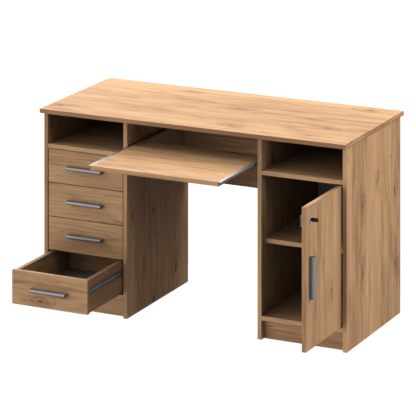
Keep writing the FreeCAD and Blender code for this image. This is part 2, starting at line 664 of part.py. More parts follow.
def key():
    """The key: an oval bow, and a round shank that fills the cylinder's bore."""
    front = FRONT_RECESS - ROSETTE_THICKNESS
    bow_end = front - KEY_BOW_CLEARANCE
    bow = box((LOCK_X - KEY_BOW_THICKNESS / 2, LOCK_X + KEY_BOW_THICKNESS / 2),
              (bow_end - KEY_BOW_LENGTH, bow_end),
              (LOCK_Z - KEY_BOW_HEIGHT / 2, LOCK_Z + KEY_BOW_HEIGHT / 2))
    corners = [edge for edge in bow.Edges if abs(edge.Length - KEY_BOW_THICKNESS) < NEAR]
    bow = bow.makeFillet(KEY_BOW_HEIGHT / 2 - KEY_BOW_FLAT, corners)
    shank = rod((LOCK_X, bow_end - KEY_SHANK_IN_BOW, LOCK_Z), Y_AXIS, SHANK_RADIUS, BOARD)
    return fuse([bow, shank])


def strike_plate(slot):
    """The slotted plate that takes the bolt, on the inner panel."""
    face = RIGHT_PEDESTAL + BOARD
    front = BOLT_LOW - BOLT_CLEARANCE - STRIKE_PAST_SLOT
    plate = box((face, face + STRIKE_SHEET), (front, front + STRIKE_WIDTH),
                (LOCK_Z - STRIKE_HEIGHT / 2, LOCK_Z + STRIKE_HEIGHT / 2))
    return plate.cut(slot)


# --- The whole desk ------------------------------------------------------------------------
def carcass():
    """Saves the fixed pieces."""
    holes = screw_holes()
    pin_holes = shelf_pins(SCREW_CLEARANCE)
    bolt_pocket = bolt(BOLT_THROW + STRIKE_CLEARANCE, BOLT_CLEARANCE)
    save("worktop", worktop())
    save("side_panel_left", with_holes(upright(LEFT_PEDESTAL), holes))
    save("inner_panel_left", with_holes(upright(KNEE_LEFT - BOARD), holes))
    inner_right = with_holes(upright(KNEE_RIGHT), holes + pin_holes)
    save("inner_panel_right", inner_right.cut(bolt_pocket))
    save("side_panel_right", with_holes(upright(OVERALL_WIDTH - BOARD), holes + pin_holes))
    for side, left in (("left", LEFT_PEDESTAL), ("right", RIGHT_PEDESTAL)):
        save("shelf_" + side, with_holes(pedestal_level(left, SHELF_UNDER), holes))
        save("bottom_panel_" + side, with_holes(pedestal_level(left, PLINTH_HEIGHT), holes))
        save("plinth_" + side, plinth(left))
        save("back_board_" + side, back_board(left))
    save("back_rail", with_holes(back_rail(), holes))
    save("cupboard_shelf", cupboard_shelf())
    save("shelf_pins", shelf_pins())
    save("panel_screws", [screw(*place) for place in screw_places()])
    save("screw_caps", [cap(*place) for place in screw_places()])
    save("strike_plate", strike_plate(bolt_pocket))
    save("drawer_runners", drawer_runners())
    save("tray_runners", tray_runners())
    save("hinge_arms", hinge_arms())


def drawers():
    """Saves the drawers: the lowest is pulled out, the others are shut."""
    for index in range(1, DRAWER_COUNT + 1):
        drawer(index, DRAWER_OPENING if index == DRAWER_COUNT else 0.0)


def tray():
    """Saves the keyboard tray."""
    save("keyboard_tray", keyboard_tray())
    save("tray_slides", tray_channels())
    save("tray_ball_cages", tray_cages())


def door():
    """Saves the door and its lock, turned open."""
    save("door_panel", open_door(door_panel()))
    save("door_handle", open_door(door_handle()))
    save("hinge_cups", [open_door(hinge) for hinge in hinge_cups()])
    save("lock_case", open_door(lock_case()))
    save("lock_cylinder", open_door(lock_cylinder()))
    save("lock_key", open_door(key()))
    save("lock_bolt", open_door(bolt(0.0)))


os.makedirs("parts", exist_ok=True)
carcass()
drawers()
tray()
door()
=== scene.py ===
"""Looks of the computer desk: oak print, fittings and studio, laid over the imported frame."""
import math
import random

import bmesh
import bpy
from mathutils import Matrix, Vector


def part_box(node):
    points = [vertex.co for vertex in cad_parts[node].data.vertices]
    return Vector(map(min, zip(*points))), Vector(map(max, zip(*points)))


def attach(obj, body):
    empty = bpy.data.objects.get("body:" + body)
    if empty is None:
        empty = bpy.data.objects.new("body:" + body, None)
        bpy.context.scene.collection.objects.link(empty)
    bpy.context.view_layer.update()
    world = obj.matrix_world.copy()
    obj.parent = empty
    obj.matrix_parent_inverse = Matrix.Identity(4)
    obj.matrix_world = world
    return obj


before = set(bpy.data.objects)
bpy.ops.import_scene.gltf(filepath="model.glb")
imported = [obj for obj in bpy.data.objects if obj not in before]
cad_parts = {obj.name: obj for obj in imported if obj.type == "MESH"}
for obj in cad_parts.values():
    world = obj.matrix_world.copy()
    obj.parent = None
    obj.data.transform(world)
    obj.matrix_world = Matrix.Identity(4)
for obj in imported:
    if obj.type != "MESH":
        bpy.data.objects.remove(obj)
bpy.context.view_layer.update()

bl_info = {
    "name": "Computer desk looks",
    "version": (1, 0, 0),
    "blender": (4, 5, 0),
    "location": "View3D > Sidebar > Desk",
    "description": "Oak print, metal fittings, small hardware and a studio for a computer desk",
    "category": "Object",
}

X, Y, Z = 0, 1, 2
MM = 0.001
DRAWERS = (1, 2, 3, 4)
SIDES = ("left", "right")
WHITE = (1.0, 1.0, 1.0, 1.0)

# --- The oak print ---------------------------------------------------------------------------
# The axis that each board's grain runs along.
GRAIN = {
    "worktop": X, "shelf_left": X, "shelf_right": X, "bottom_panel_left": X,
    "bottom_panel_right": X, "plinth_left": X, "plinth_right": X, "back_rail": X,
    "cupboard_shelf": X, "keyboard_tray": X,
    "side_panel_left": Z, "side_panel_right": Z, "inner_panel_left": Z,
    "inner_panel_right": Z, "door_panel": Z,
}
for number in DRAWERS:
    GRAIN[f"drawer_{number}_front"] = X
    GRAIN[f"drawer_{number}_back"] = X
    GRAIN[f"drawer_{number}_sides"] = Y

# The print's usual tone, from 0, dark, to 1, pale, and how much paler or darker the broad faces
# and the edges of some boards are. These offsets are partly the print's own tone and partly
# painted light and shade. Boards and edges that sit in shade, such as the back rail deep under
# the worktop and the open drawer's back and sides, are painted darker. The right side panel's
# front edge is painted paler as painted light. A pair of drawer sides counts as one wide board
# lying flat, so its rims are its broad faces.
USUAL_TONE = 0.58
FACE_TONE_AND_SHADE = {"drawer_2_front": -0.08, "drawer_3_front": -0.08, "drawer_4_front": -0.10,
             "drawer_4_back": -0.20, "plinth_right": -0.30, "back_rail": -0.60}
EDGE_TONE_LIGHT_AND_SHADE = {"worktop": -0.52, "side_panel_right": 0.50, "inner_panel_left": -0.35,
             "drawer_4_front": -0.35, "drawer_4_sides": -0.38, "door_panel": -0.08}

# The noises that make up the figure of the wood: waves in a metre along and across the grain,
# detail and roughness, and a shift that keeps each apart from the others.
FIGURE = {
    "wander": (1.1, 4.0, 2.0, 0.5, 0.0),
    "broad": (1.0, 7.0, 2.0, 0.5, 1.3),
    "patch": (3.4, 26.0, 4.0, 0.6, 6.1),
    "streak": (6.0, 75.0, 3.0, 0.6, 2.7),
    "fine": (14.0, 330.0, 2.0, 0.6, 7.9),
    "pore": (26.0, 900.0, 1.0, 0.5, 3.3),
    "crack": (9.0, 110.0, 3.0, 0.6, 9.4),
    "blush": (1.8, 10.0, 2.0, 0.5, 5.5),
    "ripple": (2.2, 16.0, 3.0, 0.55, 4.1),
}
# How much each part of the figure changes the tone.
TONE_SHARE = {"plank": 0.34, "broad": 0.90, "patch": 1.05, "streak": 0.80, "fine": 0.85,
              "late_wood": 0.17, "knot_flow": 0.34}
# The tones at which the print is dark, middling and light oak.
TONE_STOPS = (0.05, 0.50, 0.92)
# Marks laid over the print in this order: where each begins and is full, how strongly it covers
# the print, and its colour among the finishes. An eye is the dark heart of a knot.
MARKS = {
    "blush": (0.0, 0.22, 0.60, "oak_blush"),
    "pore": (0.14, 0.26, 0.22, "oak_dark"),
    "crack": (0.165, 0.225, 0.70, "oak_knot"),
    "eye": (0.25, 0.75, 0.75, "oak_knot"),
}

# Knots: the cell that may hold one, along and across the grain in metres, a common knot's size,
# the random number above which a cell has one, the smallest and the added share of that size,
# how fast its flow and its heart fade outwards, and how far the grain is pushed aside round it.
KNOT_CELL = (0.36, 0.150)
KNOT_SIZE = (0.034, 0.0125)
KNOT_CHANCE = 0.50
KNOT_SPREAD = (0.55, 0.75)
KNOT_FADE = (0.30, 5.0)
KNOT_PUSH = 0.72

# Growth rings: the pith's place across a plank and its depth below the face, in metres, with
# what chance and a slow arch along the plank add, and how a ripple and a knot bend the rings.
PITH_PLACE = (0.15, 0.7)
PITH_DEPTH = (0.006, 0.040)
ARCH_DEPTH = 0.060
ARCH_WAVES = 0.9
DEPTH_SLOPE = 0.4
RING_RIPPLE = 2.4
RING_KNOT = 2.2
# What keeps a plank's three random numbers, and its arch, apart.
PITH_SEED, DEPTH_SEED, ARCH_SEED = 31.7, 67.3, 5.3

# A face counts as looking along an axis when its normal is closer to it than this cosine.
FACING = 0.7
# The seam between a board's face and its edge band, and half its width with and without blur.
SEAM_INSET, SEAM_SOFT, SEAM_HARD = 1.3 * MM, 0.35 * MM, 0.1 * MM
# Painted shade on some boards. For the upright panels it is a painted shadow under the
# worktop, measured down from their top. For the door it is painted shade beside the side panel,
# measured back from its hinged edge. Each gives where the shade starts, where it is full and how
# dark it is. The rims of the open drawer's sides are painted dark all over as painted shade.
SHADOW_UNDER_WORKTOP = (6.0 * MM, 3.5 * MM, 0.8)
SHADE_BESIDE_HINGES = (75.0 * MM, -20.0 * MM, 0.6)
DRAWER_RIM_SHADE = 0.72

# --- Small hardware --------------------------------------------------------------------------
# A drawer slide's screws, as shares of its length, and how far their flat heads stand out. The
# running gap beside them is 0.6 mm.
SLIDE_SCREWS = (0.146, 0.46, 0.80)
SLIDE_SCREW_RISE = 0.45 * MM
# The hinges' distance from the door's upper and lower ends.
HINGE_INSET = 100.0 * MM

# Round heads, as points of (share of the radius, height): shares of the rise for the pan head
# with its recess, and metres for the nail.
PAN_HEAD = ((0.0, 0.0), (1.0, 0.0), (0.98, 0.35), (0.80, 0.85),
            (0.52, 1.0), (0.48, 1.0), (0.16, 0.35), (0.0, 0.30))
NAIL_HEAD = ((0.0, 0.0), (1.0, 0.0), (0.95, 0.3 * MM), (0.6, 0.55 * MM), (0.0, 0.62 * MM))


# --- Shader maths ----------------------------------------------------------------------------
class Field:
    """A number that varies over a surface. Arithmetic on it adds Math nodes."""

    def __init__(self, sheet, socket):
        self.sheet = sheet
        self.socket = socket

    def other(self, name):
        """Another output of the same node."""
        return Field(self.sheet, self.socket.node.outputs[name])

    def maths(self, operation, *values):
        """A Math node on this sheet."""
        return self.sheet.add("ShaderNodeMath", {"operation": operation}, dict(enumerate(values)))

    def __add__(self, value):
        return self.maths("ADD", self, value)

    __radd__ = __add__

    def __sub__(self, value):
        return self.maths("SUBTRACT", self, value)

    def __rsub__(self, value):
        return self.maths("SUBTRACT", value, self)

    def __mul__(self, value):
        return self.maths("MULTIPLY", self, value)

    __rmul__ = __mul__

    def __truediv__(self, value):
        return self.maths("DIVIDE", self, value)

    def __rtruediv__(self, value):
        return self.maths("DIVIDE", value, self)

    def __pow__(self, value):
        return self.maths("POWER", self, value)

    def __gt__(self, value):
        return self.maths("GREATER_THAN", self, value)

    def __lt__(self, value):
        return self.maths("LESS_THAN", self, value)

    def __abs__(self):
        return self.maths("ABSOLUTE", self)


class Sheet:
    """The node sheet of one finish, or of the sky."""

    def __init__(self, name, world=None):
        self.owner = world or bpy.data.materials.new(name)
        self.owner.use_nodes = True
        self.tree = self.owner.node_tree
        self.tree.nodes.clear()

    def add(self, kind, settings=None, sockets=None, output=0):
        """One node: its settings first, then the values or links of its sockets."""
        node = self.tree.nodes.new(kind)
        for name, value in (settings or {}).items():
            if name == "stops":
                self.set_stops(node.color_ramp, value)
            else:
                setattr(node, name, value)
        for key, value in (sockets or {}).items():
            socket = self.find(node.inputs, key)
            if isinstance(value, Field):
                self.tree.links.new(value.socket, socket)
            else:
                socket.default_value = value
        return None if output is None else Field(self, self.find(node.outputs, output))

    @staticmethod
    def find(row, key):
        """A socket by its identifier, or else by its number or name."""
        named = [socket for socket in row if socket.identifier == key]
        return named[0] if named else row[key]

    @staticmethod
    def set_stops(ramp, stops):
        """The places and colours of a ramp's stops."""
        while len(ramp.elements) < len(stops):
            ramp.elements.new(1.0)
        for element, (position, tint) in zip(ramp.elements, stops):
            element.position = position
            element.color = (*tint, 1.0)

    def place(self):
        """Where a point is on the piece, in metres, and which way its face looks."""
        made = self.add("ShaderNodeTexCoord", output="Object")
        return self.parts(made), self.parts(made.other("Normal"))

    def parts(self, vector):
        """The three numbers of a vector or a colour."""
        split = self.add("ShaderNodeSeparateXYZ", None, {0: vector})
        return [split, split.other("Y"), split.other("Z")]

    def vector(self, x, y, z):
        """A vector or a colour of three numbers."""
        return self.add("ShaderNodeCombineXYZ", None, {0: x, 1: y, 2: z})

    def noise(self, vector, detail=2.0, rough=0.5):
        """Smooth noise about 0, mostly between -0.5 and 0.5."""
        sockets = {"Vector": vector, "Scale": 1.0, "Detail": detail, "Roughness": rough}
        return self.add("ShaderNodeTexNoise", None, sockets) - 0.5

    def speckle(self, point, waves, detail, rough=0.5):
        """Noise with a number of waves in a metre along each axis."""
        spread = [part * wave for part, wave in zip(point, waves)]
        return self.noise(self.vector(*spread), detail, rough)

    def random(self, value):
        """A random number from 0 to 1 for each whole value."""
        return self.add("ShaderNodeTexWhiteNoise", {"noise_dimensions": "1D"}, {"W": value})

    def exp(self, value):
        return value.maths("EXPONENT", value)

    def floor(self, value):
        return value.maths("FLOOR", value)

    def sine(self, value):
        return value.maths("SINE", value)

    def least(self, first, second):
        return first.maths("MINIMUM", first, second)

    def most(self, first, second):
        return first.maths("MAXIMUM", first, second)

    def clear(self, value, start, end):
        """0 before start, 1 after end and smooth between them."""
        sockets = {"Value": value, "From Min": start, "From Max": end}
        return self.add("ShaderNodeMapRange", {"interpolation_type": "SMOOTHSTEP"}, sockets)

    def ramp(self, value, *stops):
        """A colour from stops of (value, colour)."""
        return self.add("ShaderNodeValToRGB", {"stops": stops}, {0: value})

    def mix(self, factor, first, second):
        """Two colours mixed."""
        first, second = [c if isinstance(c, Field) else (*c, 1.0) for c in (first, second)]
        return self.add("ShaderNodeMix", {"data_type": "RGBA"},
                        {"Factor_Float": factor, "A_Color": first, "B_Color": second},
                        "Result_Color")

    def scaled(self, tint, factor):
        """A colour made brighter or darker by a number."""
        return self.add("ShaderNodeVectorMath", {"operation": "SCALE"},
                        {0: self.vector(*tint), "Scale": factor})

    def bump(self, height, distance, strength):
        return self.add("ShaderNodeBump", None,
                        {"Height": height, "Distance": distance, "Strength": strength})

    def finish(self, **sockets):
        """Joins the sockets' values to the surface shader."""
        named = {name.replace("_", " "): value for name, value in sockets.items()}
        self.add_output("ShaderNodeOutputMaterial",
                        self.add("ShaderNodeBsdfPrincipled", None, named))
        return self.owner

    def add_output(self, kind, surface):
        """The sheet's last node, which has no output of its own."""
        self.add(kind, None, {"Surface": surface}, None)


# --- Settings --------------------------------------------------------------------------------
def colour(name, description, default):
    return bpy.props.FloatVectorProperty(name=name, description=description, subtype="COLOR",
                                         size=3, min=0.0, max=1.0, default=default)


def length(name, description, default):
    return bpy.props.FloatProperty(name=name, description=description, unit="LENGTH",
                                   default=default, precision=5)


def amount(name, description, default):
    return bpy.props.FloatProperty(name=name, description=description, default=default)


def angle(name, description, degrees):
    return bpy.props.FloatProperty(name=name, description=description, unit="ROTATION",
                                   default=math.radians(degrees))


class DeskFinishes(bpy.types.PropertyGroup):
    """Colours and grain of the desk's materials."""

    oak_light: colour("Light oak", "The palest tone of the oak print", (0.740, 0.450, 0.236))
    oak_middle: colour("Middle oak", "The common tone of the oak print", (0.600, 0.356, 0.186))
    oak_dark: colour("Dark oak", "The darkest streaks of the oak print", (0.380, 0.196, 0.100))
    oak_blush: colour("Blush", "Pinkish patches of the oak print", (0.580, 0.315, 0.165))
    # The knot's colour is also the colour that the painted shade on the boards darkens towards.
    oak_knot: colour("Knot", "The heart of a knot", (0.150, 0.072, 0.036))
    plank: length("Plank width", "Width of one printed plank", 0.135)
    ring: length("Ring spacing", "Distance between growth rings", 0.013)
    fibreboard: colour("Fibreboard", "Printed side of the thin boards", (0.400, 0.388, 0.374))
    raw_board: colour("Raw fibreboard", "Bare side of the thin boards", (0.200, 0.120, 0.066))
    zinc: colour("Zinc", "Bright plated steel of the tray's slides", (0.500, 0.500, 0.505))
    # The drawers' slides are the same plated steel as the tray's; their darker colour is painted
    # shade.
    shaded_zinc: colour("Dull zinc", "Plated steel of the drawers' slides", (0.300, 0.320, 0.340))
    nickel: colour("Nickel", "Plated steel of hinges and lock", (0.780, 0.760, 0.730))
    aluminium: colour("Aluminium", "Satin handles", (0.340, 0.342, 0.350))


class DeskHardware(bpy.types.PropertyGroup):
    """Sizes of the small hardware."""

    ball: length("Ball radius", "Steel balls of the slides", 1.55 * MM)
    ball_pitch: length("Ball spacing", "Distance between the balls", 7.5 * MM)
    screw: length("Screw head radius", "Screws of slides, hinges and lock", 3.1 * MM)
    nail: length("Nail head radius", "Nails of the back boards", 2.6 * MM)
    nail_pitch: length("Nail spacing", "Distance between nails", 95.0 * MM)


class DeskStudio(bpy.types.PropertyGroup):
    """Camera, floor and light."""

    camera_x: length("Camera X", "Where the camera stands", 4.47467)
    camera_y: length("Camera Y", "Where the camera stands", -9.22698)
    camera_z: length("Camera Z", "Where the camera stands", 3.23934)
    turn: angle("Turn", "Heading of the camera", 25.8156)
    tilt: angle("Tilt", "How far the camera looks down", 15.4004)
    lens: amount("Lens", "Focal length in millimetres", 249.67)
    floor: length("Floor size", "Side of the floor", 60.0)
    sky: amount("Sky light", "Even light from all round", 0.176)
    glow: amount("Sky glow", "Extra sky light from the front on the left", 1.33)
    back_light: amount("Back light", "Strength of the lamp behind the desk", 3.3)
    back_colour: colour("Back light colour", "Tint of the lamp behind the desk", (1.0, 0.93, 0.80))
    left_light: amount("Left light", "Strength of the lamp on the left", 1.65)
    right_light: amount("Right light", "Strength of the lamp on the right", 0.87)
    panel_light: amount("Panel light", "Watts of the near panel on the right", 12.6)
    panel_side: length("Panel side", "Width and height of the near panel", 1.2)


# --- Finishes --------------------------------------------------------------------------------
def knots(sheet, along, line):
    """Knots, each in its own cell, with the grain flowing round them.

    Gives the grain line pushed aside, how near a knot's flow is and how near its heart is.
    """
    (cell_long, cell_wide), (long, wide) = KNOT_CELL, KNOT_SIZE
    cell = sheet.add("ShaderNodeTexVoronoi", {"voronoi_dimensions": "2D"},
                     {"Vector": sheet.vector(along / cell_long, line / cell_wide, 0.0),
                      "Scale": 1.0, "Randomness": 0.9}, "Position")
    centre = sheet.parts(cell)
    chance = sheet.parts(cell.other("Color"))
    off_along = along - centre[X] * cell_long
    off_across = line - centre[Y] * cell_wide
    there = chance[0] > KNOT_CHANCE
    spread = KNOT_SPREAD[0] + chance[1] * KNOT_SPREAD[1]
    reach = (off_along / (long * spread)) ** 2.0 + (off_across / (wide * spread)) ** 2.0
    flow, heart = [sheet.exp(reach * -fade) * there for fade in KNOT_FADE]
    return line - off_across * flow * KNOT_PUSH, flow, heart


def rings(sheet, settings, along, line, deep, ripple, flow, seed):
    """Growth rings of each plank about its own pith: the plank's tone, and its late wood."""
    index = sheet.floor(line / settings.plank)
    tone = sheet.random(index + seed)
    pith = sheet.random(index + seed + PITH_SEED)
    depth = sheet.random(index + seed + DEPTH_SEED)
    from_pith = line - (index + PITH_PLACE[0] + pith * PITH_PLACE[1]) * settings.plank
    arch = sheet.noise(sheet.vector(along * ARCH_WAVES + index * ARCH_SEED, seed, 0.0), 1.0)
    below = PITH_DEPTH[0] + depth * PITH_DEPTH[1] + arch * ARCH_DEPTH + deep * DEPTH_SLOPE
    radius = (from_pith ** 2.0 + below ** 2.0) ** 0.5
    phase = radius / settings.ring + ripple * RING_RIPPLE + flow * RING_KNOT
    ring = sheet.sine(phase * (2.0 * math.pi)) * 0.5 + 0.5
    return tone, ring ** 3.0


def seam(sheet, point, low, high, axes):
    """The fine seam just inside a board's banded edges."""
    gaps = [sheet.least(point[axis] - low[axis], high[axis] - point[axis]) for axis in axes]
    rim = sheet.least(*gaps)
    return sheet.clear(abs(rim - SEAM_INSET) * -1.0, -SEAM_SOFT, -SEAM_HARD)


def painted_shade(sheet, node, point, facing, high):
    """Painted shade on some boards: where it lies and how dark it is, or nothing."""
    if node.startswith(("side_panel", "inner_panel")):
        start, full, depth = SHADOW_UNDER_WORKTOP
        return sheet.clear(point[Z], high.z - start, high.z - full) * depth
    if node == "door_panel":
        start, full, depth = SHADE_BESIDE_HINGES
        return sheet.clear(point[Y], high.y - start, high.y - full) * depth
    if node == "drawer_4_sides":
        return abs(facing[Z]) * DRAWER_RIM_SHADE
    return None


def oak(name, grain, node, settings):
    """Laminated board with an oak print: planks, growth rings, streaks, pores and knots."""
    low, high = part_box(node)
    size = high - low
    wide, thick = sorted((axis for axis in range(3) if axis != grain), key=lambda axis: -size[axis])
    rng = random.Random(name)
    shift, side_shift, seed = rng.uniform(0, 9), rng.uniform(0, 2), rng.uniform(0, 99)
    sheet = Sheet(name)
    point, facing = sheet.place()
    # Along, across and into the wood, which the board's ends show the other way round.
    end = abs(facing[grain]) > FACING
    broad_face = abs(facing[thick]) > FACING
    along = point[grain] + (point[wide] - point[grain]) * end + shift
    across = point[wide] + (point[thick] - point[wide]) * end + side_shift
    deep = point[thick] + (point[grain] - point[thick]) * end

    def grained(part):
        """A part of the figure: noise drawn out along the grain."""
        length_wise, width_wise, detail, rough, plus = FIGURE[part]
        return sheet.noise(sheet.vector(along * length_wise + plus, across * width_wise,
                                        deep * width_wise + seed), detail, rough)

    line, flow, heart = knots(sheet, along, across + grained("wander") * 0.030)
    plank, late_wood = rings(sheet, settings, along, line, deep, grained("ripple"), flow, seed)
    broad, patch, streak, fine = [grained(part) for part in ("broad", "patch", "streak", "fine")]
    marks = {"blush": grained("blush"), "pore": grained("pore"),
             "crack": grained("crack") + flow * 0.07, "eye": heart + fine * 0.5 + streak * 0.4}

    # Tone offsets for this board's faces and edges: the print's tone together with painted shade and
    # painted light.
    edge_tone_light_and_shade, face_tone_and_shade = EDGE_TONE_LIGHT_AND_SHADE.get(node, 0.0), FACE_TONE_AND_SHADE.get(node, 0.0)
    tone = USUAL_TONE + edge_tone_light_and_shade + (face_tone_and_shade - edge_tone_light_and_shade) * broad_face
    tone = (tone + (plank - 0.5) * TONE_SHARE["plank"] + broad * TONE_SHARE["broad"]
            + patch * TONE_SHARE["patch"] + streak * TONE_SHARE["streak"] + fine * TONE_SHARE["fine"]
            - late_wood * TONE_SHARE["late_wood"] - flow * TONE_SHARE["knot_flow"])
    tints = (settings.oak_dark, settings.oak_middle, settings.oak_light)
    printed = sheet.ramp(tone, *zip(TONE_STOPS, tints))
    for mark, (start, full, strength, tint) in MARKS.items():
        marks[mark] = sheet.clear(marks[mark], start, full)
        printed = sheet.mix(marks[mark] * strength, printed, getattr(settings, tint))
    printed = sheet.mix(seam(sheet, point, low, high, (grain, wide)) * broad_face * 0.45,
                        printed, settings.oak_dark)
    # Painted shade, mixed towards the knot colour.
    shade = painted_shade(sheet, node, point, facing, high)
    if shade is not None:
        printed = sheet.mix(shade, printed, settings.oak_knot)

    rough = 0.50 + fine * 0.16 + marks["pore"] * 0.10 + marks["eye"] * 0.06
    height = fine * 0.35 - marks["pore"] * 0.6 - marks["crack"] * 0.4 + streak * 0.25
    return sheet.finish(Base_Color=printed, Roughness=rough,
                        Normal=sheet.bump(height, 0.12 * MM, 0.55), Specular_IOR_Level=0.08)


def fibreboard(name, raw_axis, raw_sign, settings):
    """Thin board: printed grey on one side, bare brown fibres with a mesh mark on the other."""
    mesh_pitch, cloud_waves, fibre_waves = 2.1 * MM, 14.0, 700.0
    sheet = Sheet(name)
    point, facing = sheet.place()
    raw = (facing[raw_axis] * raw_sign) > FACING
    across = [point[axis] for axis in range(3) if axis != raw_axis]
    threads = [sheet.sine(part * (2.0 * math.pi / mesh_pitch)) for part in across]
    mesh = threads[0] * threads[1]
    cloud = sheet.speckle(point, [cloud_waves] * 3, 4.0)
    fibre = sheet.speckle(point, [fibre_waves] * 3, 3.0)
    printed = sheet.scaled(settings.fibreboard, 1.0 + cloud * 0.25 + fibre * 0.2)
    bare = sheet.scaled(settings.raw_board, 1.0 + cloud * 0.35 + fibre * 0.7 + mesh * 0.06)
    height = fibre * (0.2 + raw * 0.8) + mesh * raw * 0.5
    return sheet.finish(Base_Color=sheet.mix(raw, printed, bare),
                        Roughness=0.55 + raw * 0.25 + fibre * 0.1,
                        Normal=sheet.bump(height, 0.1 * MM, 0.6), Specular_IOR_Level=0.35)


def metal(name, tint, rough, grain, scratch, metallic, shade_bands=()):
    """Metal with fine lines drawn along one axis, or none, and faint blotches.

    Each shade band is a stripe of painted shade: an axis, where the darker stripe starts and ends on
    it, and how dark it is.
    """
    line_waves, drawn_waves, blotch_waves = 900.0, 12.0, 45.0
    shade_band_blur = 0.8 * MM
    sheet = Sheet(name)
    point, _ = sheet.place()
    waves = [drawn_waves if axis == grain else line_waves for axis in range(3)]
    lines = sheet.speckle(point, waves, 3.0, 0.6)
    blotch = sheet.speckle(point, [blotch_waves] * 3, 3.0, 0.55)
    light = 1.0 + lines * scratch + blotch * 0.10
    for axis, start, end, depth in shade_bands:
        middle, half = (start + end) / 2, (end - start) / 2
        inside = sheet.clear(half - abs(point[axis] - middle), 0.0, shade_band_blur)
        light = light * (1.0 - inside * depth)
    return sheet.finish(Base_Color=sheet.scaled(tint, light), Metallic=metallic,
                        Roughness=rough + lines * 0.12 + blotch * 0.10,
                        Normal=sheet.bump(lines, 0.05 * MM, 0.4))


def shared(name, **values):
    """A metal that several groups of pieces share, made once. No packed finish has its name."""
    return bpy.data.materials.get(name) or metal(name, **values)


def zinc(settings):
    return shared("zinc_plate_x", tint=settings.zinc, rough=0.36, grain=X, scratch=0.10, metallic=0.6)


def nickel(settings):
    return shared("nickel_plate", tint=settings.nickel, rough=0.32, grain=None, scratch=0.05,
                  metallic=0.6)


def wear(material, *nodes):
    """Gives carried-over nodes their finish."""
    for node in nodes:
        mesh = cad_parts[node].data
        mesh.materials.clear()
        mesh.materials.append(material)


# --- Small shapes ----------------------------------------------------------------------------
def piece_from(name, build, material, body):
    """A new piece from a bmesh that build fills, riding on a body."""
    mesh = bpy.data.meshes.new(name)
    shape = bmesh.new()
    build(shape)
    bmesh.ops.recalc_face_normals(shape, faces=shape.faces)
    shape.to_mesh(mesh)
    shape.free()
    mesh.materials.append(material)
    piece = bpy.data.objects.new(name, mesh)
    bpy.context.scene.collection.objects.link(piece)
    for face in mesh.polygons:
        face.use_smooth = True
    mesh.set_sharp_from_angle(angle=math.radians(35))
    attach(piece, body)


def aim(axis, way):
    """The turn that takes +Z to an axis of the desk."""
    target = Vector((0.0, 0.0, 0.0))
    target[axis] = way
    return target.to_track_quat("Z", "Y").to_matrix().to_4x4()


def turned(shape, place, axis, way, profile, sides):
    """Spins a profile of (radius, height) points about an axis, closed at both ends."""
    stance = Matrix.Translation(place) @ aim(axis, way)
    turns = [2.0 * math.pi * k / sides for k in range(sides)]
    loops = []
    for radius, height in profile:
        points = [(radius * math.cos(turn), radius * math.sin(turn), height) for turn in turns]
        if radius == 0.0:
            points = points[:1]
        loops.append([shape.verts.new(stance @ Vector(point)) for point in points])
    for lower, upper in zip(loops, loops[1:]):
        for k in range(sides):
            j = (k + 1) % sides
            corners = [lower[k % len(lower)], lower[j % len(lower)],
                       upper[j % len(upper)], upper[k % len(upper)]]
            shape.faces.new(list(dict.fromkeys(corners)))


def screw_head(shape, place, axis, way, radius, rise):
    """A pan head with a round recess in its top."""
    profile = [(share * radius, height * rise) for share, height in PAN_HEAD]
    turned(shape, place, axis, way, profile, 16)


def nail_head(shape, place, axis, way, radius):
    """A low domed head."""
    turned(shape, place, axis, way, [(share * radius, height) for share, height in NAIL_HEAD], 12)


# --- Operators -------------------------------------------------------------------------------
class DESK_OT_boards(bpy.types.Operator):
    """Gives every laminated board its oak print, with the grain along its length"""

    bl_idname = "desk.boards"
    bl_label = "Oak boards"

    def execute(self, context):
        settings = context.scene.desk_finishes
        for node, grain in GRAIN.items():
            wear(oak(f"oak_{node}", grain, node, settings), node)
        return {"FINISHED"}


class DESK_OT_thin_boards(bpy.types.Operator):
    """Gives the back boards and drawer bottoms their grey print and bare rear side"""

    bl_idname = "desk.thin_boards"
    bl_label = "Thin boards"

    def execute(self, context):
        settings = context.scene.desk_finishes
        wear(fibreboard("thin_back_board", Y, 1.0, settings),
             *[f"back_board_{side}" for side in SIDES])
        wear(fibreboard("thin_drawer_bottom", Z, -1.0, settings),
             *[f"drawer_{number}_bottom" for number in DRAWERS])
        return {"FINISHED"}


class DESK_OT_handles(bpy.types.Operator):
    """Satin aluminium for the grips, with painted shade and, on the door's grip, painted light"""

    bl_idname = "desk.handles"
    bl_label = "Handles"

    def execute(self, context):
        tint = context.scene.desk_finishes.aluminium
        beyond = 2.0 * MM
        for number in DRAWERS:
            node = f"drawer_{number}_handle"
            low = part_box(node)[0]
            # A band of painted shade along the underside of each drawer's grip.
            underside_shade = (Z, low.z - beyond, low.z + 4.5 * MM, 0.65)
            wear(self.satin(node, tint, X, underside_shade), node)
        low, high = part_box("door_handle")
        # The door's grip: painted shade over all but its outer strip, and an aluminium copy 2.1 times
        # as bright as painted light.
        face = (X, low.x - beyond, high.x - 1.5 * MM, 0.55)
        painted_light_tint = [2.1 * part for part in tint]
        wear(self.satin("door_handle", painted_light_tint, Z, face), "door_handle")
        return {"FINISHED"}

    @staticmethod
    def satin(node, tint, grain, shade_band):
        """Aluminium drawn along a grip, with one band of painted shade."""
        return metal(f"satin_{node}", tint, rough=0.34, grain=grain, scratch=0.08, metallic=0.8,
                     shade_bands=[shade_band])


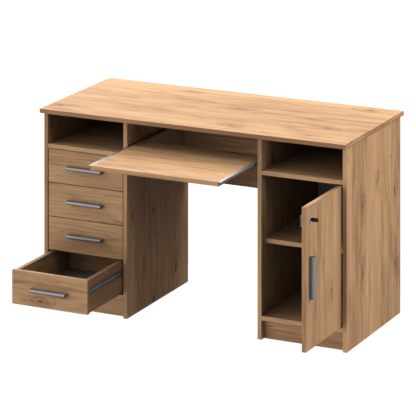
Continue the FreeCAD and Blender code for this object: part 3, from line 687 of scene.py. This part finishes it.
class DESK_OT_slides(bpy.types.Operator):
    """Plated slides with their balls and screws"""

    bl_idname = "desk.slides"
    bl_label = "Slides"

    def execute(self, context):
        settings, hardware = context.scene.desk_finishes, context.scene.desk_hardware
        # A darker copy of the zinc, as painted shade, for the drawers' slides, the runners and the
        # cages.
        plate = metal("dull_zinc_plate", settings.shaded_zinc, rough=0.42, grain=Y, scratch=0.10,
                      metallic=0.7)
        low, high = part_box("tray_slides")
        tenth = (high.z - low.z) / 10
        # Painted shade in the tray slides' profile: the hollow under the top flange, and a dark line
        # along each flange.
        hollow_shade = (Z, high.z - 5.0 * tenth, high.z - 2.0 * tenth, 0.60)
        right_flange_shade = (X, high.x - 8.0 * MM, high.x - 4.5 * MM, 0.85)
        left_flange_shade = (X, low.x + 2.0 * MM, low.x + 10.0 * MM, 0.70)
        bright = metal("bright_zinc_plate", settings.zinc, rough=0.42, grain=Y, scratch=0.10,
                       metallic=0.6, shade_bands=[hollow_shade, right_flange_shade, left_flange_shade])
        wear(bright, "tray_slides")
        wear(plate, "drawer_runners", "tray_runners", "tray_ball_cages")
        steel = nickel(settings)
        for number in DRAWERS:
            wear(plate, f"drawer_{number}_slides", f"drawer_{number}_ball_cages")
            self.balls(f"drawer_{number}", steel, hardware)
            self.screws(number, steel, hardware)
        self.balls("tray", steel, hardware)
        self.tab_screws(steel, hardware)
        return {"FINISHED"}

    @staticmethod
    def bars(node):
        """The boxes of a node's separate bars."""
        shape = bmesh.new()
        shape.from_mesh(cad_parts[node].data)
        bmesh.ops.remove_doubles(shape, verts=shape.verts, dist=1e-6)
        left, found = set(shape.verts), []
        while left:
            group, front = set(), [left.pop()]
            while front:
                vert = front.pop()
                group.add(vert)
                near = [edge.other_vert(vert) for edge in vert.link_edges]
                fresh = [other for other in near if other in left]
                left.difference_update(fresh)
                front.extend(fresh)
            corners = [vert.co for vert in group]
            found.append((Vector(map(min, zip(*corners))), Vector(map(max, zip(*corners)))))
        shape.free()
        return sorted(found, key=lambda pair: tuple(pair[0]))

    def balls(self, owner, material, hardware):
        """Steel balls along each cage bar of a drawer or the tray."""
        bars = self.bars(f"{owner}_ball_cages")
        inside, proud = 0.02 * MM, 0.15 * MM

        def build(shape):
            for low, high in bars:
                middle = (low + high) / 2
                run = high.y - low.y - 2 * hardware.ball
                count = int(run / hardware.ball_pitch)
                radius = min(hardware.ball, (high.z - low.z) / 2 - inside) + proud
                for k in range(count + 1):
                    y = low.y + hardware.ball + run * k / count
                    spot = Matrix.Translation((middle.x, y, middle.z))
                    bmesh.ops.create_icosphere(shape, subdivisions=2, radius=radius, matrix=spot)

        piece_from(f"{owner}_balls", build, material, f"{owner}_cages")

    @staticmethod
    def screws(number, material, hardware):
        """Screws through a drawer's moving slide members, into its sides."""
        low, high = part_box(f"drawer_{number}_slides")
        box_low, box_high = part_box(f"drawer_{number}_sides")
        web = 1.0 * MM

        def build(shape):
            for x, way in ((box_low.x - web, -1), (box_high.x + web, 1)):
                for share in SLIDE_SCREWS:
                    spot = Vector((x, low.y + (high.y - low.y) * share, (low.z + high.z) / 2))
                    screw_head(shape, spot, X, way, hardware.screw, SLIDE_SCREW_RISE)

        piece_from(f"drawer_{number}_slide_screws", build, material, f"drawer_{number}")

    @staticmethod
    def tab_screws(material, hardware):
        """Two screws in each tray runner's fixing tab."""
        low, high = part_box("tray_runners")
        tab, from_front, below_top, rise = 1.2 * MM, (9.0 * MM, 22.0 * MM), 6.0 * MM, 1.4 * MM

        def build(shape):
            for x, way in ((low.x + tab, 1), (high.x - tab, -1)):
                for inset in from_front:
                    spot = Vector((x, low.y + inset, high.z - below_top))
                    screw_head(shape, spot, X, way, hardware.screw, rise)

        piece_from("tray_runner_screws", build, material, "desk")


class DESK_OT_fittings(bpy.types.Operator):
    """Connecting screws and shelf pins. The caps over the screws keep their packed finish"""

    bl_idname = "desk.fittings"
    bl_label = "Screws and pins"

    def execute(self, context):
        settings = context.scene.desk_finishes
        wear(zinc(settings), "panel_screws")
        wear(nickel(settings), "shelf_pins")
        return {"FINISHED"}


class DESK_OT_hinges(bpy.types.Operator):
    """Concealed hinges with their screws"""

    bl_idname = "desk.hinges"
    bl_label = "Hinges"

    def execute(self, context):
        settings, hardware = context.scene.desk_finishes, context.scene.desk_hardware
        steel = nickel(settings)
        wear(steel, "hinge_cups", "hinge_arms")
        low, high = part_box("hinge_arms")
        door_low, door_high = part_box("door_panel")
        heights = (door_low.z + HINGE_INSET, door_high.z - HINGE_INSET)

        def arm_screws(shape):
            """Two through each mounting plate and two on each arm."""
            plate, plate_front, plate_reach, plate_rise = 2.0 * MM, 24.0 * MM, 16.0 * MM, 1.3 * MM
            arm_fronts, arm_rise = (22.0 * MM, 44.0 * MM), 0.9 * MM
            for height in heights:
                for offset in (-plate_reach, plate_reach):
                    spot = Vector((high.x - plate, low.y + plate_front, height + offset))
                    screw_head(shape, spot, X, -1, hardware.screw, plate_rise)
                for inset in arm_fronts:
                    spot = Vector((low.x, low.y + inset, height))
                    screw_head(shape, spot, X, -1, hardware.screw, arm_rise)

        def wing_screws(shape):
            """One in each wing of a hinge cup."""
            wing, cup_inset, wing_reach, wing_rise = 1.4 * MM, 22.5 * MM, 26.0 * MM, 1.2 * MM
            for height in heights:
                for offset in (-wing_reach, wing_reach):
                    spot = Vector((door_low.x - wing, door_high.y - cup_inset, height + offset))
                    screw_head(shape, spot, X, -1, hardware.screw, wing_rise)

        piece_from("hinge_arm_screws", arm_screws, steel, "desk")
        piece_from("hinge_wing_screws", wing_screws, steel, "door")
        return {"FINISHED"}


class DESK_OT_lock(bpy.types.Operator):
    """The lock's case, rosette, bolt and strike plate. The key keeps its packed finish"""

    bl_idname = "desk.lock"
    bl_label = "Lock"

    def execute(self, context):
        settings, hardware = context.scene.desk_finishes, context.scene.desk_hardware
        steel = nickel(settings)
        darker = [0.4 * part for part in settings.shaded_zinc]
        wear(steel, "lock_cylinder", "strike_plate")
        dull = metal("dull_lock_case", darker, rough=0.5, grain=None, scratch=0.05, metallic=0.8)
        wear(dull, "lock_case", "lock_bolt")
        low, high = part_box("strike_plate")
        inset, rise = 9.0 * MM, 0.9 * MM

        def plate_screws(shape):
            for z in (low.z + inset, high.z - inset):
                spot = Vector((high.x, (low.y + high.y) / 2, z))
                screw_head(shape, spot, X, 1, hardware.screw, rise)

        piece_from("strike_plate_screws", plate_screws, steel, "desk")
        return {"FINISHED"}


class DESK_OT_nails(bpy.types.Operator):
    """Nails that hold the back boards"""

    bl_idname = "desk.nails"
    bl_label = "Back board nails"

    def execute(self, context):
        settings, hardware = context.scene.desk_finishes, context.scene.desk_hardware
        for side in SIDES:
            low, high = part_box(f"back_board_{side}")
            spots = self.round_the_edge(low, high, hardware.nail_pitch)

            def build(shape):
                for x, z in spots:
                    nail_head(shape, Vector((x, high.y, z)), Y, 1.0, hardware.nail)

            piece_from(f"back_nails_{side}", build, zinc(settings), "desk")
        return {"FINISHED"}

    @staticmethod
    def round_the_edge(low, high, pitch):
        """Places of nails along a board's four edges, each corner once."""
        inset, digits = 7.0 * MM, 5
        left, right, bottom, top = low.x + inset, high.x - inset, low.z + inset, high.z - inset
        columns, rows = round((right - left) / pitch), round((top - bottom) / pitch)
        spots = set()
        for k in range(columns + 1):
            x = round(left + (right - left) * k / columns, digits)
            spots.update(((x, round(bottom, digits)), (x, round(top, digits))))
        for k in range(rows + 1):
            z = round(bottom + (top - bottom) * k / rows, digits)
            spots.update(((round(left, digits), z), (round(right, digits), z)))
        return sorted(spots)


class DESK_OT_studio(bpy.types.Operator):
    """Floor, light and camera"""

    bl_idname = "desk.studio"
    bl_label = "Studio"

    def execute(self, context):
        scene, settings = context.scene, context.scene.desk_studio
        scene.view_settings.view_transform = "Standard"
        self.floor(settings)
        self.sky(scene, settings)
        self.far_lamp("back_lamp", (-1.0, 1.0, 1.0), settings.back_light, settings.back_colour)
        self.far_lamp("left_lamp", (-1.0, 0.0, 0.7), settings.left_light)
        self.far_lamp("right_lamp", (1.0, 0.0, 0.7), settings.right_light)
        self.near_lamp("right_panel", (2.2, 0.0, 0.8), settings.panel_light, settings.panel_side)
        self.camera(scene, settings)
        return {"FINISHED"}

    @staticmethod
    def floor(settings):
        """A floor that glows a plain white by itself and throws no light on the desk."""
        shape = bmesh.new()
        bmesh.ops.create_grid(shape, x_segments=8, y_segments=8, size=settings.floor / 2)
        mesh = bpy.data.meshes.new("floor")
        shape.to_mesh(mesh)
        shape.free()
        floor = bpy.data.objects.new("floor", mesh)
        floor.location = (0.0, 0.0, -0.5 * MM)
        floor.visible_diffuse = False
        floor.visible_glossy = False
        bpy.context.scene.collection.objects.link(floor)
        sheet = Sheet("pale_floor")
        point, _ = sheet.place()
        cloud = sheet.speckle(point, (3.0, 3.0, 3.0), 3.0)
        tint = sheet.scaled((0.08, 0.08, 0.08), 1.0 + cloud * 0.02)
        mesh.materials.append(sheet.finish(Base_Color=tint, Roughness=0.9, Specular_IOR_Level=0.1,
                                           Emission_Color=WHITE, Emission_Strength=0.99))

    @staticmethod
    def sky(scene, settings):
        """Even light with a broad glow, up to the first diffuse bounce, on a white backdrop."""
        world = scene.world or bpy.data.worlds.new("studio")
        scene.world = world
        world.cycles.sampling_method = "NONE"
        sheet = Sheet("studio", world)
        way = sheet.add("ShaderNodeTexCoord", output="Generated")
        towards_glow = Vector((-1.0, -1.0, 0.0)).normalized()
        side = sheet.add("ShaderNodeVectorMath", {"operation": "DOT_PRODUCT"},
                         {0: way, 1: towards_glow}, "Value")
        light = settings.sky + settings.glow * sheet.most(side, 0.0) ** 3.0
        seen = sheet.add("ShaderNodeLightPath", output="Is Camera Ray")
        first_bounce = seen.other("Diffuse Depth") < 1.5
        strength = light * first_bounce * (1.0 - seen) + seen
        back = sheet.add("ShaderNodeBackground", None, {"Color": WHITE, "Strength": strength})
        sheet.add_output("ShaderNodeOutputWorld", back)

    def far_lamp(self, name, towards, strength, tint=(1.0, 1.0, 1.0)):
        """A broad lamp far away in the given direction."""
        light = bpy.data.lights.new(name, "SUN")
        light.color = tint
        light.energy = strength
        light.angle = math.radians(40.0)
        self.hang(light, Vector((0.0, 0.0, 0.0)), Vector(towards))

    def near_lamp(self, name, place, watts, side):
        """A square panel that faces the middle of the desk."""
        light = bpy.data.lights.new(name, "AREA")
        light.energy = watts
        light.size = side
        middle = Vector((0.0, 0.0, 0.4))
        self.hang(light, Vector(place), Vector(place) - middle)

    @staticmethod
    def hang(light, place, back):
        """Puts a lamp in its place, shining away from back, with no bounced light."""
        light.cycles.max_bounces = 0
        lamp = bpy.data.objects.new(light.name, light)
        lamp.location = place
        lamp.rotation_mode = "QUATERNION"
        lamp.rotation_quaternion = back.to_track_quat("Z", "Y")
        bpy.context.scene.collection.objects.link(lamp)

    @staticmethod
    def camera(scene, settings):
        """A camera that looks down a little while its picture plane stays upright."""
        data = bpy.data.cameras.new("camera")
        data.lens = settings.lens
        data.clip_start, data.clip_end = 0.1, 200.0
        camera = bpy.data.objects.new("camera", data)
        stand = bpy.data.objects.new("camera_stand", None)
        for part in (camera, stand):
            scene.collection.objects.link(part)
        turn, tilt = settings.turn, settings.tilt
        right = Vector((math.cos(turn), math.sin(turn), 0.0))
        ahead = Vector((-math.sin(turn), math.cos(turn), 0.0))
        up = Vector((0.0, 0.0, 1.0))
        back = up * math.sin(tilt) - ahead * math.cos(tilt)
        stand.location = (settings.camera_x, settings.camera_y, settings.camera_z)
        camera.parent = stand
        camera.matrix_parent_inverse = Matrix((right, up, back)).transposed().to_4x4()
        scene.camera = camera


class DESK_PT_panel(bpy.types.Panel):
    """Lists the desk's operators and settings"""

    bl_idname = "DESK_PT_panel"
    bl_label = "Computer desk"
    bl_space_type = "VIEW_3D"
    bl_region_type = "UI"
    bl_category = "Desk"

    def draw(self, context):
        column = self.layout.column()
        for operator in OPERATORS:
            column.operator(operator.bl_idname)
        for group_name, group in GROUPS.items():
            for name in group.__annotations__:
                column.prop(getattr(context.scene, group_name), name)


GROUPS = {"desk_finishes": DeskFinishes, "desk_hardware": DeskHardware, "desk_studio": DeskStudio}
OPERATORS = (DESK_OT_boards, DESK_OT_thin_boards, DESK_OT_handles, DESK_OT_slides, DESK_OT_fittings,
             DESK_OT_hinges, DESK_OT_lock, DESK_OT_nails, DESK_OT_studio)
CLASSES = (*GROUPS.values(), *OPERATORS, DESK_PT_panel)


def register():
    for part in CLASSES:
        bpy.utils.register_class(part)
    for name, group in GROUPS.items():
        setattr(bpy.types.Scene, name, bpy.props.PointerProperty(type=group))


def unregister():
    for name in GROUPS:
        delattr(bpy.types.Scene, name)
    for part in reversed(CLASSES):
        bpy.utils.unregister_class(part)


def main():
    register()
    bpy.ops.desk.boards()
    bpy.ops.desk.thin_boards()
    bpy.ops.desk.handles()
    bpy.ops.desk.slides()
    bpy.ops.desk.fittings()
    bpy.ops.desk.hinges()
    bpy.ops.desk.lock()
    bpy.ops.desk.nails()
    bpy.ops.desk.studio()


if __name__ == "__main__":
    main()
